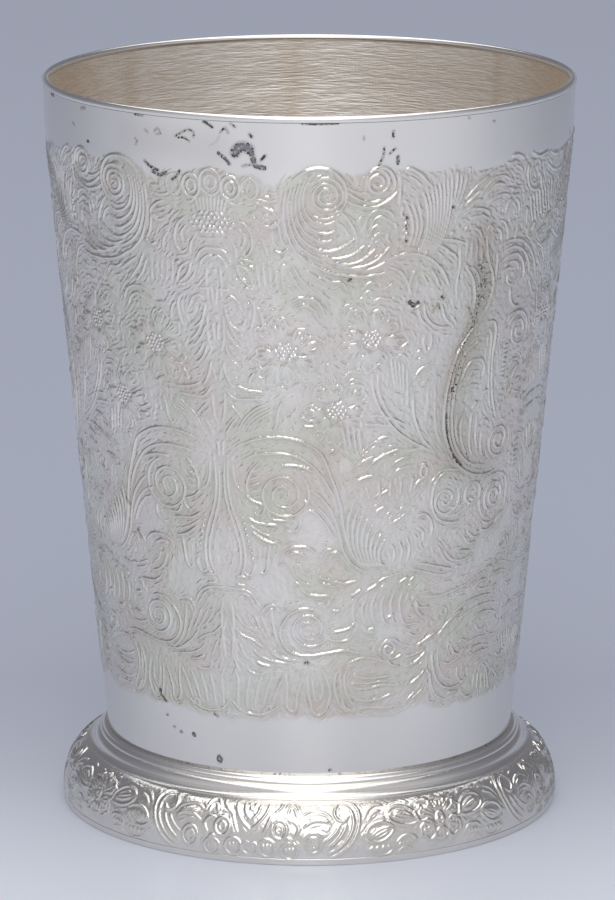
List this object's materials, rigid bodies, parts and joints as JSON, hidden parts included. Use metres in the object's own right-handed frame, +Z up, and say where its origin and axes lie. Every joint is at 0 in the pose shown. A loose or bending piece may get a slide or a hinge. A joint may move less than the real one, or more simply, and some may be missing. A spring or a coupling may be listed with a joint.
{
  "type": "julep cup",
  "caption": "Footed metal julep cup with a tapering wall, a wired rim and a reeded, stamped foot, chased all over with scrolls, leaves and flowers.",
  "frame": {"origin": "centre of the ring that the cup stands on", "axes": "+Z up along the cup's axis, through the mouth; the picture looks along +Y"},
  "size_m": [0.08, 0.08, 0.112],
  "materials": {
    "polished_silver": "polished sterling silver, chased, with soft tarnish in the hollows",
    "brushed_silver": "satin silver with fine turned scratches",
    "solder": "dull silver solder"
  },
  "bodies": {
    "root": {"body_wall": "polished_silver", "bottom_disc": "brushed_silver", "rim_wire": "polished_silver", "foot_collar": "polished_silver", "foot_band": "polished_silver", "base_wire": "polished_silver", "bottom_solder": "solder", "collar_solder": "solder", "foot_solder": "solder"}
  },
  "joints": []
}
